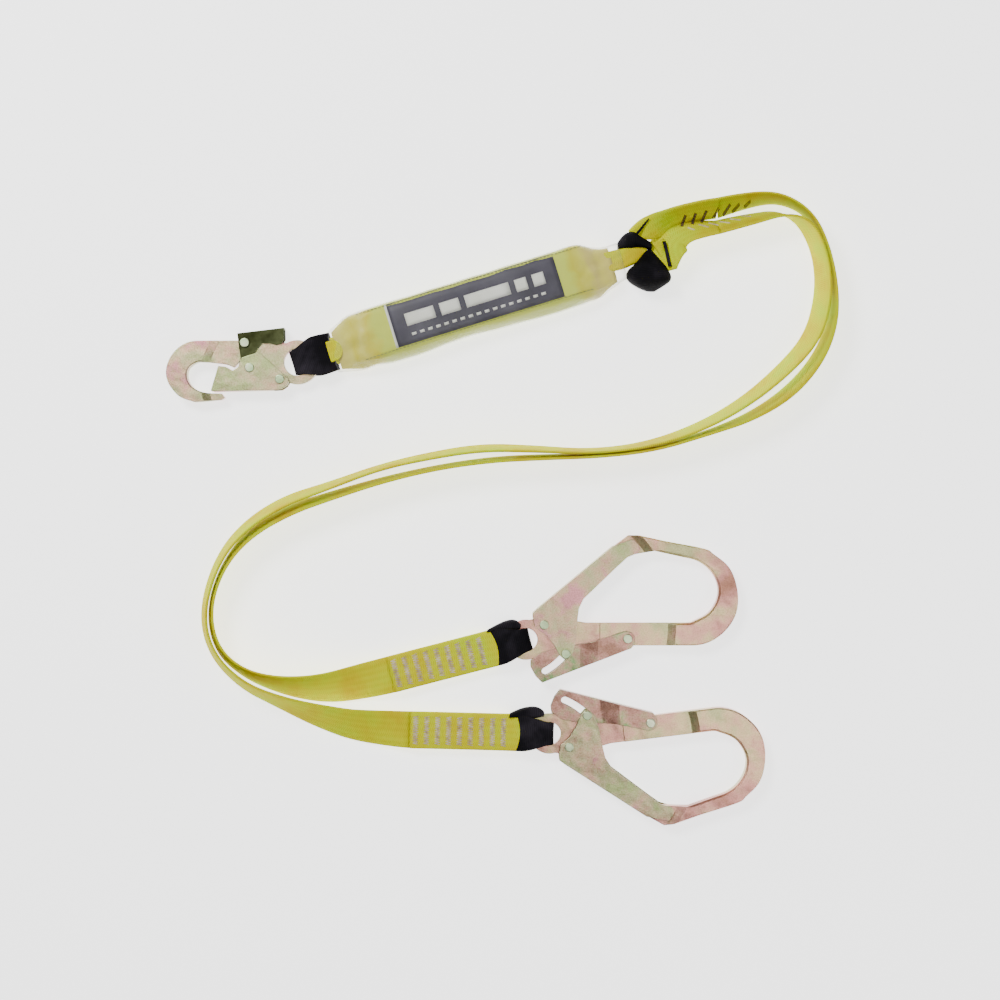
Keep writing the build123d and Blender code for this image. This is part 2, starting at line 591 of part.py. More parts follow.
def lanyard():
    """Every node by name, in its place."""
    nodes = {}
    hooks = (("snap", snap_hook(), hook_place(SNAP_EYE, 0)),
             ("hook_a", scaffold_hook(), hook_place(HOOK_A_EYE, 0)),
             ("hook_b", scaffold_hook(), hook_place(HOOK_B_EYE, HOOK_B_TURN, flipped=True)))
    for hook, pieces, place in hooks:
        for piece, solid in pieces.items():
            nodes[f"{hook}_{piece}"] = place * solid

    snap_loop = eye_loop(SNAP_EYE_HOLE, SNAP_EYE_RIM, SNAP_HALF, SNAP_SEWN_LENGTH,
                         SNAP_SLEEVE_LENGTH, 1.5)
    place = hook_place(SNAP_EYE, SNAP_AXIS)
    nodes["front_loop"] = place * snap_loop[0]
    nodes["front_wear_sleeve"] = place * snap_loop[1]

    for piece, solid in absorber_pack().items():
        nodes[piece] = pack_place(solid)
    nodes.update(yoke_pieces())
    nodes["yoke_stitching"] = yoke_stitches()

    legs = (("leg_a", HOOK_A_EYE, LEG_A_AXIS, LEG_A_ROUTE, LEG_A_TWIST),
            ("leg_b", HOOK_B_EYE, LEG_B_AXIS, LEG_B_ROUTE, LEG_B_TWIST))
    for leg, eye, axis, route, twist in legs:
        place = hook_place(eye, axis)
        loop, sleeve = eye_loop(EYE_HOLE, EYE_RIM, EYE_HALF, SEWN_LENGTH, SLEEVE_LENGTH, 0)
        nodes[f"{leg}_eye_end"] = place * loop
        nodes[f"{leg}_wear_sleeve"] = place * sleeve
        nodes[f"{leg}_stitching"] = place * bar_stitches(LEG_BARS_START, LEG_BARS, LEG_BAR_PITCH)
        nodes[f"{leg}_webbing"] = leg_webbing(route, twist, leg)
    return {node: Pos(*LAYOUT_SHIFT) * solid for node, solid in nodes.items()}


if __name__ == "__main__":
    os.makedirs("parts", exist_ok=True)
    for node, solid in lanyard().items():
        export_step(solid, f"parts/{node}.step")
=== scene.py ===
"""Twin-leg shock absorbing lanyard: two scaffold hooks, a snap hook and a covered absorber pack."""

import math

import bpy
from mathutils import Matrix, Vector, noise


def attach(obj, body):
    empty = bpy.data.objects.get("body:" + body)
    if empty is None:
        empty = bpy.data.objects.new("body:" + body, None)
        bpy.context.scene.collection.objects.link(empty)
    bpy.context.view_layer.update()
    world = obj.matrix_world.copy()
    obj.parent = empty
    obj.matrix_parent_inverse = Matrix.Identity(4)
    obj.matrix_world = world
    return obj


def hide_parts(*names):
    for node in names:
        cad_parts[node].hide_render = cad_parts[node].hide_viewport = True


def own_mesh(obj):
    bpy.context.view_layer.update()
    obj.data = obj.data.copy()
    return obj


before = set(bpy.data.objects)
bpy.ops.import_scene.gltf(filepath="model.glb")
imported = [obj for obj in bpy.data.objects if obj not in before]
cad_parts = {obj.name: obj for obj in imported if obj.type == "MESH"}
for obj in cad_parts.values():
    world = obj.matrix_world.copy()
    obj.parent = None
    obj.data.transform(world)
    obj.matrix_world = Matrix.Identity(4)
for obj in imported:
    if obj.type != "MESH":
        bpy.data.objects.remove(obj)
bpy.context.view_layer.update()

MM = 0.001

# ---------------------------------------------------------------- sizes, in metres
WEB_WIDTH = 37 * MM
WEB_THICK = 2.6 * MM
FLOOR_GAP = 0.3 * MM
HOOK_HEIGHT = 9.2 * MM  # the middle plane of every hook
LAYOUT_SHIFT = Vector((11.7 * MM, 4.7 * MM, 0.0))  # centres the layout, as part.py does

VIEW_CENTRE = Vector((0.0347, 0.0122, 0.015))
VIEW_HEIGHT = 1.8  # above the plane of VIEW_CENTRE
VIEW_WIDTH = 1.0  # of that plane, across the frame

# (x, y, lean in degrees from upright towards the left of the way it runs)
LEG_A = (
    (0.2517, 0.3037, 24), (0.2847, 0.3127, 15), (0.3167, 0.3137, 4), (0.3457, 0.2967, -3),
    (0.3617, 0.2627, -3), (0.3687, 0.2197, 2), (0.3652, 0.1827, 8), (0.3497, 0.1487, 13),
    (0.3217, 0.1177, 16), (0.2837, 0.0942, 12), (0.2397, 0.0782, 6), (0.1897, 0.0627, 5),
    (0.1367, 0.0562, 5), (0.0817, 0.0552, 8), (0.0267, 0.0527, 8), (-0.0283, 0.0447, 7),
    (-0.0803, 0.0327, 9), (-0.1283, 0.0182, 13), (-0.1743, 0.0032, 17), (-0.2163, -0.0213, 16),
    (-0.2433, -0.0553, 12), (-0.2563, -0.0983, 13), (-0.2483, -0.1373, 16), (-0.2213, -0.1613, 18),
    (-0.1843, -0.1733, 31), (-0.1433, -0.1768, 53), (-0.1063, -0.1708, 76), (-0.0745, -0.1628, 90),
)
LEG_B = (
    (0.2517, 0.2847, -27), (0.2847, 0.2927, -24), (0.3167, 0.2992, -14), (0.3417, 0.2877, 10),
    (0.3557, 0.2547, 13), (0.3582, 0.2167, 18), (0.3477, 0.1757, 20), (0.3207, 0.1442, 19),
    (0.2797, 0.1097, 15), (0.2327, 0.0837, 13), (0.1797, 0.0662, 9), (0.1237, 0.0602, 7),
    (0.0697, 0.0632, 10), (0.0167, 0.0647, 12), (-0.0363, 0.0562, 11), (-0.0863, 0.0447, 9),
    (-0.1363, 0.0262, 12), (-0.1843, 0.0102, 17), (-0.2253, -0.0178, 16), (-0.2503, -0.0533, 15),
    (-0.2633, -0.1023, 15), (-0.2533, -0.1423, 16), (-0.2233, -0.1728, 18), (-0.1863, -0.1893, 24),
    (-0.1463, -0.2038, 43), (-0.1003, -0.2163, 66), (-0.0555, -0.2182, 90),
)


# ---------------------------------------------------------------- building helpers
def smooth_line(points, steps=10):
    """Places along the smooth line that has these control points."""
    curve = bpy.data.curves.new("route", "CURVE")
    curve.dimensions = "3D"
    curve.resolution_u = steps
    spline = curve.splines.new("NURBS")
    spline.points.add(len(points) - 1)
    for knot, point in zip(spline.points, points):
        knot.co = (*point, 1.0)
    spline.order_u = 3
    spline.use_endpoint_u = True
    holder = bpy.data.objects.new("route", curve)
    bpy.context.scene.collection.objects.link(holder)
    bpy.context.view_layer.update()
    mesh = bpy.data.meshes.new_from_object(holder)
    places = [vertex.co.copy() for vertex in mesh.vertices]
    bpy.data.objects.remove(holder)
    bpy.data.meshes.remove(mesh)
    bpy.data.curves.remove(curve)
    return places


def tangents(places):
    """The direction of travel at each place."""
    last = len(places) - 1
    return [
        (places[min(i + 1, last)] - places[max(i - 1, 0)]).normalized()
        for i in range(len(places))
    ]


def finish_piece(obj, material, body, replaces=()):
    """Gives a piece its material, in a slot of its own, and its body, and hides the CAD nodes it stands for.
    """
    obj.data.materials.append(material)
    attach(obj, body)
    if replaces:
        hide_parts(*replaces)
    return obj


def loft(name, rings, closed=False):
    """A skin over rings of points, capped at both ends unless it closes on itself.
    Its UV map is in metres: along the piece, and around each ring."""
    count = len(rings[0])
    vertices = [point for ring in rings for point in ring]
    faces, marks = [], []
    along = [0.0]
    for before, after in zip(rings, rings[1:]):
        step = sum((q - p).length for p, q in zip(before, after)) / count
        along.append(along[-1] + step)
    around = []
    for ring in rings:
        row = [0.0]
        for k in range(count):
            row.append(row[-1] + (ring[(k + 1) % count] - ring[k]).length)
        around.append(row)
    spans = len(rings) if closed else len(rings) - 1
    for i in range(spans):
        j = (i + 1) % len(rings)
        for k in range(count):
            m = (k + 1) % count
            faces.append((i * count + k, i * count + m, j * count + m, j * count + k))
            marks.append((
                (along[i], around[i][k]), (along[i], around[i][k + 1]),
                (along[i] + (along[j] - along[i] if j else 0.0), around[j][k + 1]),
                (along[i] + (along[j] - along[i] if j else 0.0), around[j][k]),
            ))
    if not closed:
        last = (len(rings) - 1) * count
        faces.append(tuple(reversed(range(count))))
        marks.append(tuple((along[0], around[0][k]) for k in reversed(range(count))))
        faces.append(tuple(last + k for k in range(count)))
        marks.append(tuple((along[-1], around[-1][k]) for k in range(count)))
    mesh = bpy.data.meshes.new(name)
    mesh.from_pydata(vertices, [], faces)
    cloth = mesh.uv_layers.new(name="Cloth")
    corner = 0
    for face_marks in marks:
        for mark in face_marks:
            cloth.data[corner].uv = mark
            corner += 1
    mesh.polygons.foreach_set("use_smooth", [True] * len(mesh.polygons))
    mesh.update()
    obj = bpy.data.objects.new(name, mesh)
    bpy.context.scene.collection.objects.link(obj)
    return obj


def band_outline(half_width, half_thick, crown=0.0, divisions=8):
    """The closed outline of a flat webbing, as (across, through) pairs, with rounded selvedges."""
    lip = min(half_thick * 1.3, half_width * 0.3)
    across = [-half_width + lip * 0.25, -half_width + lip]
    inner = half_width - lip
    across += [-inner + 2 * inner * k / divisions for k in range(1, divisions)]
    across += [half_width - lip, half_width - lip * 0.25]

    def through(a, side):
        edge = max(0.0, (abs(a) - inner) / lip)
        height = half_thick * math.sqrt(max(0.0, 1.0 - (edge * 0.86) ** 2))
        return side * height + crown * (1.0 - (a / half_width) ** 2)

    top = [(a, through(a, 1)) for a in across]
    bottom = [(a, through(a, -1)) for a in reversed(across)]
    return [*top, (half_width, crown * 0.0), *bottom, (-half_width, 0.0)]


def band(name, centres, acrosses, widths, thick, crown=0.0, crowns=None):
    """A webbing that runs through the centres; acrosses are the directions from one selvedge to the other."""
    rings = []
    for i, (centre, way, across, width) in enumerate(zip(centres, tangents(centres), acrosses, widths)):
        side = (across - way * across.dot(way)).normalized()
        face = way.cross(side)
        bulge = crowns[i] if crowns else crown
        rings.append([
            centre + side * a + face * t
            for a, t in band_outline(width / 2, thick / 2, bulge)
        ])
    return loft(name, rings)


def ruled_band(name, pairs, thick, crown=0.0, steps=10):
    """A webbing between two edges; pairs are the control points of one edge and the other."""
    first = smooth_line([a for a, b in pairs], steps)
    second = smooth_line([b for a, b in pairs], steps)
    centres = [(p + q) / 2 for p, q in zip(first, second)]
    acrosses = [q - p for p, q in zip(first, second)]
    widths = [(q - p).length for p, q in zip(first, second)]
    return band(name, centres, acrosses, widths, thick, crown)


def layout(x, y, z):
    """A point of the layout, given in millimetres before it is centred, in the row frame."""
    return Vector((x * MM, y * MM, z * MM)) + LAYOUT_SHIFT


def join(name, parts):
    """One mesh object made of several."""
    bpy.ops.object.select_all(action="DESELECT")
    for part in parts:
        part.select_set(True)
    bpy.context.view_layer.objects.active = parts[0]
    bpy.ops.object.join()
    parts[0].name = name
    parts[0].data.name = name
    return parts[0]


# ---------------------------------------------------------------- finishes
class Finish:
    """A node material while it is put together; constants go straight on the shader's sockets."""

    def __init__(self, name, **constants):
        self.material = bpy.data.materials.new(name)
        self.material.use_nodes = True
        self.tree = self.material.node_tree
        self.shader = self.tree.nodes["Principled BSDF"]
        for socket, value in constants.items():
            self.shader.inputs[socket.replace("_", " ")].default_value = value

    def add(self, kind, inputs=(), **settings):
        """A node of that kind; inputs maps a socket to a value or to another node's socket."""
        node = self.tree.nodes.new("ShaderNode" + kind)
        for setting, value in settings.items():
            setattr(node, setting, value)
        for socket, value in dict(inputs).items():
            if isinstance(value, bpy.types.NodeSocket):
                self.tree.links.new(value, node.inputs[socket])
            else:
                node.inputs[socket].default_value = value
        return node

    def math(self, operation, a, b=0.0):
        return self.add("Math", {0: a, 1: b}, operation=operation).outputs[0]

    def noise(self, place, scale, detail=3.0, rough=0.55):
        inputs = {"Vector": place, "Scale": scale, "Detail": detail, "Roughness": rough}
        return self.add("TexNoise", inputs).outputs["Fac"]

    def ramp(self, value, stops):
        """A colour ramp; stops are (position, colour) pairs."""
        node = self.add("ValToRGB", {"Fac": value})
        ladder = node.color_ramp
        while len(ladder.elements) < len(stops):
            ladder.elements.new(0.5)
        for element, (position, colour) in zip(ladder.elements, stops):
            element.position = position
            element.color = (*colour, 1.0)
        return node.outputs["Color"]

    def mix(self, share, first, second, blend="MIX"):
        node = self.add("MixRGB", {"Fac": share}, blend_type=blend)
        for socket, value in (("Color1", first), ("Color2", second)):
            if isinstance(value, bpy.types.NodeSocket):
                self.tree.links.new(value, node.inputs[socket])
            else:
                node.inputs[socket].default_value = (*value, 1.0)
        return node.outputs["Color"]

    def bump(self, height, strength, distance, normal=None):
        inputs = {"Height": height, "Strength": strength, "Distance": distance}
        if normal is not None:
            inputs["Normal"] = normal
        return self.add("Bump", inputs).outputs["Normal"]

    def wire(self, socket, source):
        self.tree.links.new(source, self.shader.inputs[socket])

    def object_place(self):
        return self.add("TexCoord").outputs["Object"]

    def cloth_place(self):
        """The place on the cloth: metres along it, and metres across it."""
        split = self.add("SeparateXYZ", {0: self.add("TexCoord").outputs["UV"]})
        return split.outputs["X"], split.outputs["Y"]


def weave(finish, pitch, column, slant):
    """Height of a herringbone weave: ribs of that pitch that slant to and fro in columns."""
    along, across = finish.cloth_place()
    zigzag = finish.math("PINGPONG", across, column)
    skewed = finish.math("ADD", along, finish.math("MULTIPLY", zigzag, slant))
    ribs = finish.math("SINE", finish.math("MULTIPLY", skewed, 2 * math.pi / pitch))
    furrow = finish.math("SINE", finish.math("MULTIPLY", across, 2 * math.pi / (2 * column)))
    height = finish.math("ADD", finish.math("MULTIPLY", ribs, 0.36), 0.5)
    return finish.math("ADD", height, finish.math("MULTIPLY", furrow, 0.1))


def webbing_finish(name, shades, dark, pitch=2.0 * MM, column=3.2 * MM, slant=0.55, sheen=0.0):
    """Woven polyester webbing. shades are its colours from shaded to bright, painted in random patches; dark
    is painted shade between the ribs, and is also mixed in at random along the fibres.
    """
    finish = Finish(name, Sheen_Weight=sheen, Sheen_Roughness=0.4, Specular_IOR_Level=0.05)
    place = finish.object_place()
    height = weave(finish, pitch, column, slant)
    patches = finish.noise(place, 26.0, 3.0)
    step = 1.0 / (len(shades) - 1)
    tone = finish.ramp(patches, [(0.3 + 0.4 * i * step, shade) for i, shade in enumerate(shades)])
    fibre = finish.noise(place, 900.0, 2.0)
    tone = finish.mix(finish.math("MULTIPLY", fibre, 0.22), tone, dark, "MIX")
    # painted shade: the grooves between the ribs, where the weave is low, are darkened towards dark
    painted_groove_shade = finish.ramp(height, [(0.1, (1.0, 1.0, 1.0)), (0.5, (0.0, 0.0, 0.0))])
    tone = finish.mix(finish.math("MULTIPLY", painted_groove_shade, 0.5), tone, dark)
    finish.wire("Base Color", tone)
    rough = finish.add("MapRange", {"Value": fibre, "To Min": 0.55, "To Max": 0.85})
    finish.wire("Roughness", rough.outputs[0])
    relief = finish.math("ADD", height, finish.math("MULTIPLY", fibre, 0.3))
    finish.wire("Normal", finish.bump(relief, 0.8, 0.35 * MM))
    return finish


def fibre_finish(name, first, second):
    """Coarse woven fibre on a solid that has no cloth map."""
    finish = Finish(name, Specular_IOR_Level=0.1)
    place = finish.object_place()
    finish.wire("Base Color", finish.ramp(finish.noise(place, 90.0, 3.0), [(0.3, first), (0.7, second)]))
    ribs = finish.add("TexWave", {"Vector": place, "Scale": 160.0, "Distortion": 1.5}).outputs["Fac"]
    level = finish.add("MapRange", {"Value": ribs, "To Min": 0.6, "To Max": 0.85})
    finish.wire("Roughness", level.outputs[0])
    finish.wire("Normal", finish.bump(ribs, 0.5, 0.3 * MM))
    return finish.material


def zinc_finish(name, hues, edge, rough=0.3, speckle=0.25, hue_scale=22.0):
    """Chromate-passivated steel: drifting hues, a painted rim along the edges (a pale painted highlight in
    most finishes, a dark painted shade in rose_zinc and rivet_steel), and a fine peened grain.
    """
    finish = Finish(name, Metallic=1.0)
    place = finish.object_place()
    stretched = finish.add("Mapping", {"Vector": place, "Scale": (1.0, 1.0, 2.5)}).outputs[0]
    drift = finish.noise(stretched, hue_scale, 4.0, 0.6)
    step = 1.0 / (len(hues) - 1)
    tone = finish.ramp(drift, [(0.38 + 0.24 * i * step, hue) for i, hue in enumerate(hues)])
    grain = finish.noise(place, 700.0, 3.0, 0.7)
    marks = finish.ramp(grain, [(0.35, (0.55, 0.5, 0.42)), (0.6, (1.0, 1.0, 1.0))])
    tone = finish.mix(speckle, tone, marks, "MULTIPLY")
    # painted highlight and painted shade on the rims: where the bevel normal turns from the face normal, the
    # colour goes towards edge, pale in most finishes and dark in rose_zinc and rivet_steel
    soft = finish.add("Bevel", {"Radius": 0.7 * MM}, samples=6).outputs[0]
    flat = finish.add("NewGeometry").outputs["Normal"]
    turn = finish.add("VectorMath", {0: soft, 1: flat}, operation="DOT_PRODUCT").outputs["Value"]
    painted_rim_tone = finish.ramp(turn, [(0.86, (1.0, 1.0, 1.0)), (0.985, (0.0, 0.0, 0.0))])
    tone = finish.mix(finish.math("MULTIPLY", painted_rim_tone, 0.75), tone, edge)
    finish.wire("Base Color", tone)
    level = finish.add("MapRange", {"Value": grain, "To Min": rough - 0.08, "To Max": rough + 0.16})
    finish.wire("Roughness", level.outputs[0])
    swell = finish.bump(finish.noise(place, 42.0, 2.0), 0.35, 2.5 * MM, soft)
    finish.wire("Normal", finish.bump(grain, 0.25, 0.15 * MM, swell))
    return finish


HI_VIS = webbing_finish(
    "hi_vis_webbing", ((0.76, 0.58, 0.0), (0.78, 0.78, 0.0), (0.68, 0.88, 0.0)), (0.36, 0.3, 0.0)
).material
HI_VIS_PLAIN = fibre_finish("tear_webbing", (0.5, 0.42, 0.02), (0.72, 0.68, 0.05))
BLACK_SLEEVE = webbing_finish(
    "black_sleeve", ((0.004, 0.004, 0.005), (0.01, 0.009, 0.012), (0.035, 0.03, 0.04)), (0.001, 0.001, 0.001),
    pitch=1.9 * MM, column=6.0 * MM, slant=0.12,
).material
YELLOW_ZINC = zinc_finish(
    "yellow_zinc",
    ((0.66, 0.3, 0.32), (0.62, 0.44, 0.28), (0.52, 0.47, 0.27), (0.4, 0.46, 0.2)),
    (0.82, 0.9, 0.6), speckle=0.8, hue_scale=30.0,
).material
ROSE_ZINC = zinc_finish(
    "rose_zinc",
    ((0.42, 0.2, 0.14), (0.6, 0.28, 0.24), (0.68, 0.38, 0.28), (0.66, 0.5, 0.28), (0.5, 0.48, 0.24)),
    (0.14, 0.08, 0.05), speckle=0.6, hue_scale=14.0,
).material
BROWN_ZINC = zinc_finish(
    "brown_zinc",
    ((0.2, 0.36, 0.14), (0.46, 0.36, 0.22), (0.52, 0.27, 0.22), (0.34, 0.18, 0.13)),
    (0.6, 0.72, 0.42), speckle=0.8, hue_scale=34.0,
).material
OLIVE_ZINC = zinc_finish(
    "olive_zinc",
    ((0.012, 0.016, 0.005), (0.03, 0.034, 0.012), (0.07, 0.08, 0.035)),
    (0.5, 0.6, 0.36), rough=0.42,
).material
RIVET_STEEL = zinc_finish(
    "rivet_steel", ((0.36, 0.5, 0.26), (0.5, 0.62, 0.36), (0.62, 0.62, 0.46)), (0.1, 0.12, 0.06), rough=0.3
).material
SPRING_STEEL = zinc_finish(
    "spring_steel", ((0.5, 0.5, 0.5), (0.62, 0.61, 0.58), (0.7, 0.69, 0.66)), (0.9, 0.9, 0.88), rough=0.28
).material


def panel_finish():
    """Pale wrap fabric: lime over the middle, deeper yellow where it folds in at the two ends."""
    finish = Finish("wrap_fabric", Specular_IOR_Level=0.3, Sheen_Weight=0.15)
    place = finish.object_place()
    along, across = finish.cloth_place()
    drift = finish.math("MULTIPLY", finish.math("SUBTRACT", finish.noise(place, 45.0, 3.0), 0.5), 0.03)
    where = finish.math("DIVIDE", finish.math("ADD", along, drift), WRAP_LENGTH)
    lime, yellow, peach = (0.66, 0.74, 0.06), (0.7, 0.6, 0.0), (0.74, 0.6, 0.14)
    tone = finish.ramp(
        where,
        [
            (0.0, peach), (0.045, (0.78, 0.7, 0.1)), (0.075, yellow), (0.105, (0.8, 0.72, 0.12)),
            (0.135, yellow), (0.165, lime), (0.84, lime), (0.872, (0.66, 0.6, 0.004)),
            (0.9, (0.76, 0.7, 0.06)), (0.925, peach), (0.96, (0.8, 0.7, 0.1)), (1.0, peach),
        ],
    )
    patches = finish.noise(place, 60.0, 3.0)
    tone = finish.mix(finish.math("MULTIPLY", patches, 0.25), tone, (0.82, 0.88, 0.2))
    weft = finish.math("SINE", finish.math("MULTIPLY", along, 2 * math.pi / (0.9 * MM)))
    warp = finish.math("SINE", finish.math("MULTIPLY", across, 2 * math.pi / (0.9 * MM)))
    thread = finish.math("MULTIPLY", weft, warp)
    crumple = finish.noise(place, 120.0, 4.0, 0.6)
    finish.wire("Base Color", tone)
    rough = finish.add("MapRange", {"Value": crumple, "To Min": 0.5, "To Max": 0.8})
    finish.wire("Roughness", rough.outputs[0])
    relief = finish.math("ADD", finish.math("MULTIPLY", thread, 0.12), crumple)
    finish.wire("Normal", finish.bump(relief, 0.5, 0.8 * MM))
    return finish.material


def clear_finish():
    """Soft clear vinyl, almost invisible face on, milky where it turns away, with long shallow creases."""
    finish = Finish("clear_cover", Specular_IOR_Level=0.6, Coat_Weight=0.35, Coat_Roughness=0.12)
    place = finish.object_place()
    facing = finish.add("LayerWeight", {"Blend": 0.35}).outputs["Facing"]
    haze = finish.noise(place, 35.0, 3.0)
    milk = finish.math("ADD", finish.math("MULTIPLY", finish.math("POWER", facing, 1.6), 0.9), 0.02)
    milk = finish.math("ADD", milk, finish.math("MULTIPLY", haze, 0.07))
    finish.wire("Alpha", milk)
    finish.wire("Base Color", finish.ramp(haze, [(0.3, (0.62, 0.63, 0.6)), (0.7, (0.85, 0.86, 0.84))]))
    rough = finish.add("MapRange", {"Value": haze, "To Min": 0.12, "To Max": 0.3})
    finish.wire("Roughness", rough.outputs[0])
    drawn = finish.add("Mapping", {"Vector": place, "Scale": (1.0, 2.5, 1.0)}).outputs[0]
    crease = finish.noise(drawn, 70.0, 3.0)
    finish.wire("Normal", finish.bump(crease, 0.35, 1.2 * MM))
    return finish.material


def label_finish(name, first, second, rough=0.42):
    """Printed film: a slightly uneven ink over a faint canvas grain."""
    finish = Finish(name, Specular_IOR_Level=0.45)
    place = finish.object_place()
    finish.wire("Base Color", finish.ramp(finish.noise(place, 38.0, 4.0), [(0.3, first), (0.7, second)]))
    grain = finish.noise(place, 1400.0, 2.0)
    level = finish.add("MapRange", {"Value": grain, "To Min": rough - 0.08, "To Max": rough + 0.12})
    finish.wire("Roughness", level.outputs[0])
    finish.wire("Normal", finish.bump(grain, 0.2, 0.1 * MM))
    return finish.material


def thread_finish(name, first, second):
    """Twisted polyester sewing thread."""
    finish = Finish(name, Specular_IOR_Level=0.3, Sheen_Weight=0.2)
    place = finish.object_place()
    finish.wire("Base Color", finish.ramp(finish.noise(place, 160.0, 3.0), [(0.35, first), (0.65, second)]))
    twist = finish.noise(place, 2400.0, 2.0)
    level = finish.add("MapRange", {"Value": twist, "To Min": 0.5, "To Max": 0.8})
    finish.wire("Roughness", level.outputs[0])
    finish.wire("Normal", finish.bump(twist, 0.5, 0.15 * MM))
    return finish.material


WRAP_LENGTH = 294 * MM
WRAP_FABRIC = panel_finish()
CLEAR_COVER = clear_finish()
LABEL_INK = label_finish("label_film", (0.022, 0.018, 0.036), (0.045, 0.038, 0.066))
LABEL_EDGE = label_finish("label_edge", (0.82, 0.83, 0.72), (0.9, 0.9, 0.84), 0.5)
BAR_THREAD = thread_finish("bar_thread", (0.4, 0.27, 0.16), (0.8, 0.68, 0.5))
# painted shade: a darker copy of bar_thread, for the yoke's bars that lie in shade
SHADED_THREAD = thread_finish("shaded_thread", (0.06, 0.03, 0.006), (0.16, 0.09, 0.02))
ROW_THREAD = thread_finish("row_thread", (0.16, 0.17, 0.05), (0.3, 0.32, 0.1))


# ---------------------------------------------------------------- camera, light and floor
FLOOR_GLOW = 2.2  # keeps the floor white around the bright webbing
SKY_STRENGTH = 0.12


def aim(obj, target):
    obj.rotation_euler = (target - obj.location).to_track_quat("-Z", "Y").to_euler()


def add_camera():
    """Straight down on the layout."""
    data = bpy.data.cameras.new("camera")
    data.sensor_width = 36.0
    data.lens = data.sensor_width * VIEW_HEIGHT / VIEW_WIDTH
    data.dof.use_dof = False
    camera = bpy.data.objects.new("camera", data)
    camera.location = VIEW_CENTRE + Vector((0.0, 0.0, VIEW_HEIGHT))
    bpy.context.scene.collection.objects.link(camera)
    bpy.context.scene.camera = camera


def add_softbox(name, place, size, power):
    data = bpy.data.lights.new(name, "AREA")
    data.shape = "RECTANGLE"
    data.size, data.size_y = size
    data.energy = power
    lamp = bpy.data.objects.new(name, data)
    lamp.location = place
    bpy.context.scene.collection.objects.link(lamp)
    aim(lamp, VIEW_CENTRE)


def add_floor():
    """A plain pale sheet under everything."""
    half = 3.0
    mesh = bpy.data.meshes.new("floor")
    corners = [(-half, -half, 0), (half, -half, 0), (half, half, 0), (-half, half, 0)]
    mesh.from_pydata(corners, [], [(0, 1, 2, 3)])
    floor = bpy.data.objects.new("floor", mesh)
    bpy.context.scene.collection.objects.link(floor)
    finish = Finish("floor", Roughness=0.9, Specular_IOR_Level=0.1, Emission_Strength=FLOOR_GLOW)
    finish.shader.inputs["Emission Color"].default_value = (1.0, 1.0, 1.0, 1.0)
    mottle = finish.noise(finish.object_place(), 3.0, 2.0)
    finish.wire("Base Color", finish.ramp(mottle, [(0.2, (0.93, 0.93, 0.93)), (0.8, (0.96, 0.96, 0.96))]))
    mesh.materials.append(finish.material)


def add_world():
    world = bpy.data.worlds.new("studio")
    bpy.context.scene.world = world
    world.use_nodes = True
    world.node_tree.nodes["Background"].inputs["Color"].default_value = (1.0, 1.0, 1.0, 1.0)
    world.node_tree.nodes["Background"].inputs["Strength"].default_value = SKY_STRENGTH


add_camera()
add_world()
add_floor()
add_softbox("key", Vector((-0.9, 1.1, 1.7)), (0.7, 0.7), 40.0)
add_softbox("strip_right", Vector((0.45, -0.35, 2.1)), (0.1, 1.1), 7.0)
add_softbox("strip_left", Vector((-0.5, 0.35, 2.1)), (0.1, 0.9), 4.0)
add_softbox("fill", Vector((1.3, -0.7, 1.5)), (1.0, 0.6), 9.0)


# ---------------------------------------------------------------- the two legs
def leg(name, route, node, body):
    """A leg's webbing: it stands on one selvedge, leaning as the route says, and lies flat at its hook."""
    leans = [math.radians(place.x) for place in smooth_line([(lean, 0.0, 0.0) for x, y, lean in route])]
    flat = smooth_line([(x, y, 0.0) for x, y, lean in route])
    centres = []
    for place, lean in zip(flat, leans):
        stood = FLOOR_GAP + WEB_WIDTH / 2 * abs(math.cos(lean)) + WEB_THICK / 2 * abs(math.sin(lean))
        lying = min(1.0, max(0.0, (math.degrees(lean) - 60.0) / 30.0))
        lying = lying * lying * (3.0 - 2.0 * lying)
        centres.append(Vector((place.x, place.y, stood + (HOOK_HEIGHT - stood) * lying)))
    acrosses = []
    for way, lean in zip(tangents(flat), leans):
        left = Vector((-way.y, way.x, 0.0))
        acrosses.append(left * math.sin(lean) + Vector((0.0, 0.0, math.cos(lean))))
    piece = band(name, centres, acrosses, [WEB_WIDTH] * len(centres), WEB_THICK)
    finish_piece(piece, HI_VIS, body, [node])
    return piece


leg("leg_a_web", LEG_A, "leg_a_webbing", "absorber")
leg("leg_b_web", LEG_B, "leg_b_webbing", "absorber")


# ---------------------------------------------------------------- absorber pack
PACK_START = (-147.0, 155.5)
PACK_TURN = math.radians(17.1)
PACK_MAIN = (
    (-27, 0.6), (-29.6, 5), (-29, 12), (-25.5, 21), (-20.5, 28.4), (-9, 29.3), (10, 29.7), (27.5, 29),
    (30.4, 24), (31, 14), (30, 4.5), (25, 0.6),
)
